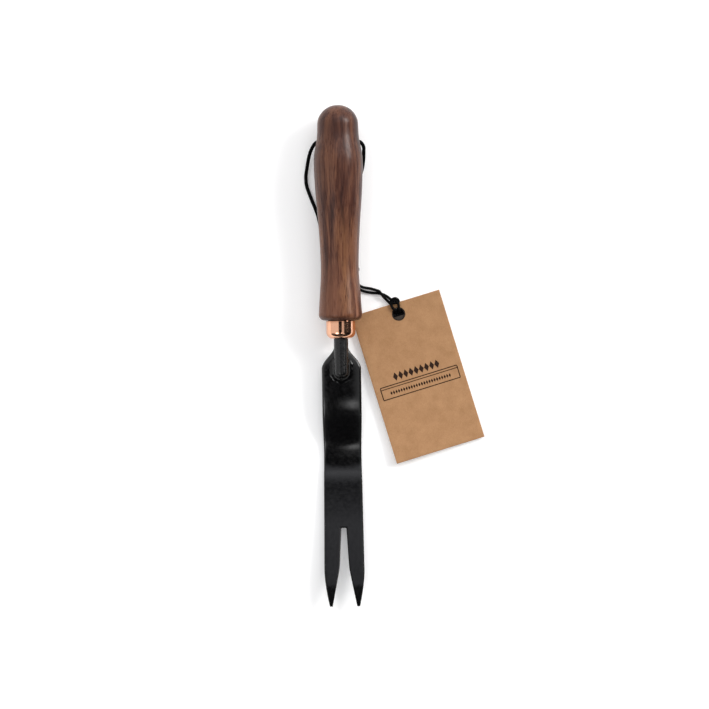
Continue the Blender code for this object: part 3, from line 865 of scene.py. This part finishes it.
def resin_look():
    shader = Shader("hard resin")
    cloud = shader.noise(shader.place, 0.8, 3.0)
    shader.set(Base_Color=shader.ramp(cloud, (0.3, (0.38, 0.30, 0.17)), (0.7, (0.55, 0.46, 0.28))),
               Roughness=shader.fit(cloud, 0.3, 0.7, 0.3, 0.5), Normal=shader.bump(cloud, 0.05, 0.4))
    return shader.material


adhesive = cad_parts["tang_adhesive"]
adhesive.data.materials.clear()
adhesive.data.materials.append(resin_look())


# ---------------------------------------------------------------- tag

TAG_WIDTH = 56.0
TAG_LENGTH = 94.0
TAG_THICKNESS = 0.5
TAG_HOLE_CENTRE = (35.4, 127.4)
TAG_HOLE_RADIUS = 3.9
TAG_HOLE_INSET = 7.0
TAG_TURN = math.radians(16.3)
TAG_HOLE_Z = 2.3
TAG_FAR_Z = 1.5
TAG_TILT = math.atan2(TAG_HOLE_Z - TAG_FAR_Z, TAG_LENGTH - TAG_HOLE_INSET)
TAG_ROTATION = Euler((TAG_TILT, 0.0, TAG_TURN)).to_matrix().to_4x4()
TAG_PLACE = Matrix.Translation(at(*TAG_HOLE_CENTRE, TAG_HOLE_Z)) @ TAG_ROTATION
LEFT_LIFT = 1.5
END_LIFT = 1.7
RIGHT_SAG = 1.6


def curl(across, down):
    """How far the card stands off its flat plane: the left side and the far end lift, the right sags."""
    left = min(1.0, max(0.0, (TAG_WIDTH / 2 - across) / TAG_WIDTH))
    far = min(1.0, max(0.0, (down + TAG_HOLE_INSET) / TAG_LENGTH))
    side = LEFT_LIFT * left ** 1.5 * (0.1 + 0.9 * far)
    end = END_LIFT * far ** 3 * (0.35 + 0.65 * left)
    return side + end - RIGHT_SAG * math.sin(math.pi * far) * (1 - left)


def on_card(across, down, up):
    """A point up mm above the card's underside, across and down from the hole's centre."""
    return TAG_PLACE @ (Vector((across, -down, curl(across, down) + up)) * MM)


def kraft_look():
    """Uncoated kraft board: warm brown, cloudy, with darker and paler fibres."""
    shader = Shader("kraft board")
    cloud = shader.noise(shader.place, 0.16, 3.0)
    fibre = shader.noise(shader.stretched((1.0, 0.35, 1.0)), 3.2, 3.0, 0.6, 0.6)
    fleck = shader.noise(shader.stretched((0.5, 1.6, 1.0), (3, 9, 2)), 2.0, 2.0, 0.5, 1.2)
    colour = shader.ramp(shader.sum(cloud, 0.45, fibre, 0.55), (0.34, (0.318, 0.166, 0.074)),
                         (0.5, (0.378, 0.203, 0.095)), (0.66, (0.428, 0.237, 0.115)))
    dark = shader.times(shader.fit(fleck, 0.66, 0.78, smooth=True), 0.35)
    colour = shader.mix(dark, colour, (0.19, 0.090, 0.038))
    pale = shader.times(shader.fit(fleck, 0.33, 0.22, smooth=True), 0.3)
    colour = shader.mix(pale, colour, (0.47, 0.30, 0.17))
    shader.set(Base_Color=colour, Roughness=shader.fit(fibre, 0.3, 0.7, 0.74, 0.88), Specular_IOR_Level=0.3,
               Sheen_Weight=0.05, Normal=shader.bump(fibre, 0.05, 0.5))
    return shader.material


def ink_look():
    shader = Shader("brown ink")
    cover = shader.noise(shader.place, 3.5, 3.0)
    shader.set(Base_Color=shader.ramp(cover, (0.35, (0.014, 0.0065, 0.004)), (0.75, (0.042, 0.019, 0.010))),
               Roughness=shader.fit(cover, 0.3, 0.7, 0.6, 0.75), Specular_IOR_Level=0.12,
               Normal=shader.bump(cover, 0.02, 0.4))
    return shader.material


CARD_STEP = 2.0


def make_card(look):
    """A flat grid with its hole cut out, then bent to the card's curl."""
    shape = bmesh.new()
    columns, rows = round(TAG_WIDTH / CARD_STEP), round(TAG_LENGTH / CARD_STEP)
    layers = []
    for up in (0.0, TAG_THICKNESS):
        layer = []
        for j in range(rows + 1):
            y = TAG_HOLE_INSET - CARD_STEP * j
            layer.append([shape.verts.new(Vector((CARD_STEP * i - TAG_WIDTH / 2, y, up)) * MM)
                          for i in range(columns + 1)])
        layers.append(layer)
    for layer in layers:
        for j in range(rows):
            for i in range(columns):
                shape.faces.new((layer[j][i], layer[j][i + 1], layer[j + 1][i + 1], layer[j + 1][i]))
    low, high = layers
    for j in range(rows):
        for i in (0, columns):
            shape.faces.new((low[j][i], low[j + 1][i], high[j + 1][i], high[j][i]))
    for i in range(columns):
        for j in (0, rows):
            shape.faces.new((low[j][i], low[j][i + 1], high[j][i + 1], high[j][i]))
    card = piece("tag_board", shape, look, body="tag", replaces=("tag_card",), sharp=30)
    hole = bmesh.new()
    bmesh.ops.create_cone(hole, cap_ends=True, segments=64, radius1=TAG_HOLE_RADIUS * MM,
                          radius2=TAG_HOLE_RADIUS * MM, depth=10 * MM)
    cut(card, piece("tag_hole", hole, None))
    for vert in card.data.vertices:
        x, y, z = (part / MM for part in vert.co)
        vert.co = on_card(x, -y, z)
    card.data.update()
    soften(card, 0.1, 2, 60.0)


INK_BELOW = -0.02
INK_ABOVE = 0.03


def ink_patch(shape, outline):
    """One closed patch of ink on the card, from its outline in mm across and down."""
    rings = [[shape.verts.new(on_card(a, d, TAG_THICKNESS + up)) for a, d in outline]
             for up in (INK_BELOW, INK_ABOVE)]
    bridge(shape, *rings)
    for ring in rings:
        shape.faces.new(ring)


def ink_line(shape, start, end, width):
    """A ruled line, in short steps so that it follows the card's curl."""
    a, b = Vector(start), Vector(end)
    along = (b - a).normalized()
    side = Vector((-along.y, along.x)) * (width / 2)
    steps = max(1, round((b - a).length / 2.5))
    left = [tuple(a.lerp(b, i / steps) + side) for i in range(steps + 1)]
    right = [tuple(a.lerp(b, i / steps) - side) for i in range(steps + 1)]
    low, high = ([[shape.verts.new(on_card(*p, TAG_THICKNESS + up)) for p in edge] for edge in (left, right)]
                 for up in (INK_BELOW, INK_ABOVE))
    for i in range(steps):
        for (p, q) in ((low[0], low[1]), (high[0], high[1]), (low[0], high[0]), (low[1], high[1])):
            shape.faces.new((p[i], p[i + 1], q[i + 1], q[i]))
    for i in (0, steps):
        shape.faces.new((low[0][i], low[1][i], high[1][i], high[0][i]))


def diamond(centre, width, height):
    x, y = centre
    return [(x, y - height / 2), (x + width / 2, y), (x, y + height / 2), (x - width / 2, y)]


# the panel's left, right, top and bottom; then the rows of diamonds, each with its first one's place, their
# step and number, and the width and height of one
PANEL = (-24.2, 24.7, 40.2, 48.0)
RULE = 0.6
THIN_RULE = 0.5
DIAMOND_ROWS = [(-18.4, 44.85, 1.62, 24, 1.35, 2.6), (-13.1, 35.9, 3.3, 9, 3.05, 5.3)]


def make_print(look):
    """A plain ruled panel with a row of small diamonds, under a row of larger ones."""
    shape = bmesh.new()
    left, right, top, bottom = PANEL
    for down, width in ((top, RULE), (bottom, RULE), (top + 1.5, THIN_RULE)):
        ink_line(shape, (left, down), (right, down), width)
    for x in (left, right):
        ink_line(shape, (x, top + RULE / 2), (x, bottom - RULE / 2), RULE)
    for across, down, step, count, width, height in DIAMOND_ROWS:
        for i in range(count):
            ink_patch(shape, diamond((across + step * i, down), width, height))
    piece("tag_print", shape, look, body="tag", sharp=30)


# the painted shade ring's section: radius, and height above the card's underside
HOLE_RING = [
    (3.45, 0.1), (3.45, 0.55), (3.75, 0.62), (4.1, 0.58), (4.15, 0.5), (4.15, 0.44), (3.85, 0.44),
    (3.85, 0.1),
]
PATCH_RADIUS = 5.4
PATCH_TOP = 1.2
PATCH_LAYERS = (-0.2, -0.04)


def make_hole_shade_ring(look):
    """Painted shade: a dark ring round the hole, standing for the shade on the hole's wall."""
    shape = bmesh.new()
    sides = 64
    turn = [2 * math.pi * i / sides for i in range(sides)]
    rings = [[shape.verts.new(on_card(radius * math.sin(a), radius * math.cos(a), up)) for a in turn]
             for radius, up in HOLE_RING]
    for ring, following in zip(rings, rings[1:] + rings[:1]):
        bridge(shape, ring, following)
    piece("tag_hole_shade_ring", shape, look, body="tag", sharp=50)


def make_shade_patch(look):
    """Painted shade: a dark patch under the card, across the lower part of the hole, standing for the shaded
    floor seen through it.
    """
    shape = bmesh.new()
    flat = math.asin(PATCH_TOP / PATCH_RADIUS)
    steps = 40
    outline = []
    for i in range(steps + 1):
        angle = flat + (math.pi - 2 * flat) * i / steps
        outline.append((PATCH_RADIUS * math.cos(angle), PATCH_RADIUS * math.sin(angle)))
    rings = [[shape.verts.new(on_card(a, d, up)) for a, d in outline] for up in PATCH_LAYERS]
    bridge(shape, *rings)
    for ring in rings:
        shape.faces.new(ring)
    patch = piece("tag_hole_shade_patch", shape, look, body="tag", sharp=30)
    soften(patch, 0.05, 1, 40.0)


# painted shade: the dark material of the ring and the patch at the tag's hole
def painted_shade_look(name, low, high):
    shader = Shader(name)
    grain = shader.noise(shader.place, 5.0, 3.0)
    shader.set(Base_Color=shader.ramp(grain, (0.35, low), (0.7, high)), Specular_IOR_Level=0.15,
               Roughness=shader.fit(grain, 0.3, 0.7, 0.5, 0.7), Normal=shader.bump(grain, 0.03, 0.5))
    return shader.material


make_card(kraft_look())
make_print(ink_look())
# painted shade at the tag's hole: a dark ring on its wall
make_hole_shade_ring(painted_shade_look("painted shade ring", (0.012, 0.0085, 0.0065), (0.040, 0.029, 0.021)))
# painted shade: a dark patch that stands for the shaded floor under the hole
make_shade_patch(painted_shade_look("painted shade patch", (0.026, 0.020, 0.016), (0.062, 0.049, 0.040)))


# ---------------------------------------------------------------- floor and light

FLOOR_HALF = 2.5
FLOOR_GLOW = 0.23
BACKDROP = (0.95, 0.95, 0.95, 1.0)


def make_floor():
    shape = bmesh.new()
    bmesh.ops.create_grid(shape, x_segments=4, y_segments=4, size=FLOOR_HALF)
    floor = piece("floor", shape, None)
    shader = Shader("white sweep")
    soft = shader.noise(shader.place, 0.004, 2.0)
    shader.set(Base_Color=shader.ramp(soft, (0.3, (0.84, 0.84, 0.84)), (0.7, (0.86, 0.86, 0.86))),
               Roughness=0.9, Specular_IOR_Level=0.1, Emission_Color=(1.0, 1.0, 1.0, 1.0),
               Emission_Strength=FLOOR_GLOW)
    floor.data.materials.append(shader.material)


def direction(from_zenith, azimuth):
    """A unit vector; azimuth turns from +X, the right, to +Y, the butt's side."""
    a, b = math.radians(from_zenith), math.radians(azimuth)
    return (math.sin(a) * math.cos(b), math.sin(a) * math.sin(b), math.cos(a))


# degrees from the zenith, azimuth, full within, gone beyond; then the strength and colour
SOFTBOXES = [
    (57, 28, 5, 13, 17.0, (1.0, 0.99, 0.98)),
    (55, 17, 2, 9, 14.0, (1.0, 0.99, 0.98)),
    (48, 60, 5, 18, 2.6, (1.0, 0.99, 0.98)),
    (36, 216, 6, 14, 3.4, (1.0, 1.0, 1.0)),
    (25, 90, 8, 22, 0.45, (0.93, 0.95, 1.2)),
    (19, -69, 1, 7, 3.2, (1.0, 1.0, 1.0)),
]
# the same four; then the share of the base light that is taken away
SHADES = [
    (3, -110, 7, 15, 0.985),
    (18, -95, 8, 16, 0.97),
    (7, 184, 6, 12, 0.97),
    (45, 180, 34, 46, 0.3),
    (18, -5, 12, 20, 0.36),
    (60, -8, 28, 42, 0.98),
    (33, -90, 9, 20, 0.92),
    (68, -90, 26, 46, 0.94),
    (75, -138, 16, 30, 0.9),
    (75, -42, 18, 32, 0.9),
]
BASE_LIGHT = 1.24


def make_world():
    world = bpy.data.worlds.new("studio")
    bpy.context.scene.world = world
    world.use_nodes = True
    tree = world.node_tree
    tree.nodes.clear()
    coordinates = tree.nodes.new("ShaderNodeTexCoord")

    def math_node(operation, first, second):
        node = tree.nodes.new("ShaderNodeMath")
        node.operation = operation
        for socket, value in zip(node.inputs, (first, second)):
            if isinstance(value, bpy.types.NodeSocket):
                tree.links.new(value, socket)
            else:
                socket.default_value = value
        return node.outputs[0]

    def spot(towards, inner, outer):
        dot = tree.nodes.new("ShaderNodeVectorMath")
        dot.operation = "DOT_PRODUCT"
        tree.links.new(coordinates.outputs["Generated"], dot.inputs[0])
        dot.inputs[1].default_value = towards
        fit = tree.nodes.new("ShaderNodeMapRange")
        fit.interpolation_type = "SMOOTHSTEP"
        tree.links.new(dot.outputs["Value"], fit.inputs[0])
        fit.inputs[1].default_value = math.cos(math.radians(outer))
        fit.inputs[2].default_value = math.cos(math.radians(inner))
        return fit.outputs[0]

    level = BASE_LIGHT
    for from_zenith, azimuth, inner, outer, depth in SHADES:
        mask = math_node("MULTIPLY", spot(direction(from_zenith, azimuth), inner, outer), depth)
        level = math_node("MULTIPLY", level, math_node("SUBTRACT", 1.0, mask))
    base = tree.nodes.new("ShaderNodeBackground")
    base.inputs["Color"].default_value = (1.0, 1.0, 1.0, 1.0)
    tree.links.new(level, base.inputs["Strength"])
    total = base.outputs[0]
    for from_zenith, azimuth, inner, outer, strength, tint in SOFTBOXES:
        light = tree.nodes.new("ShaderNodeBackground")
        light.inputs["Color"].default_value = (*tint, 1.0)
        mask = spot(direction(from_zenith, azimuth), inner, outer)
        tree.links.new(math_node("MULTIPLY", mask, strength), light.inputs["Strength"])
        add = tree.nodes.new("ShaderNodeAddShader")
        tree.links.new(total, add.inputs[0])
        tree.links.new(light.outputs[0], add.inputs[1])
        total = add.outputs[0]
    plain = tree.nodes.new("ShaderNodeBackground")
    plain.inputs["Color"].default_value = BACKDROP
    path = tree.nodes.new("ShaderNodeLightPath")
    seen = tree.nodes.new("ShaderNodeMixShader")
    tree.links.new(path.outputs["Is Camera Ray"], seen.inputs[0])
    tree.links.new(total, seen.inputs[1])
    tree.links.new(plain.outputs[0], seen.inputs[2])
    output = tree.nodes.new("ShaderNodeOutputWorld")
    tree.links.new(seen.outputs[0], output.inputs["Surface"])


make_floor()
make_world()
bpy.context.scene.view_settings.view_transform = "Standard"
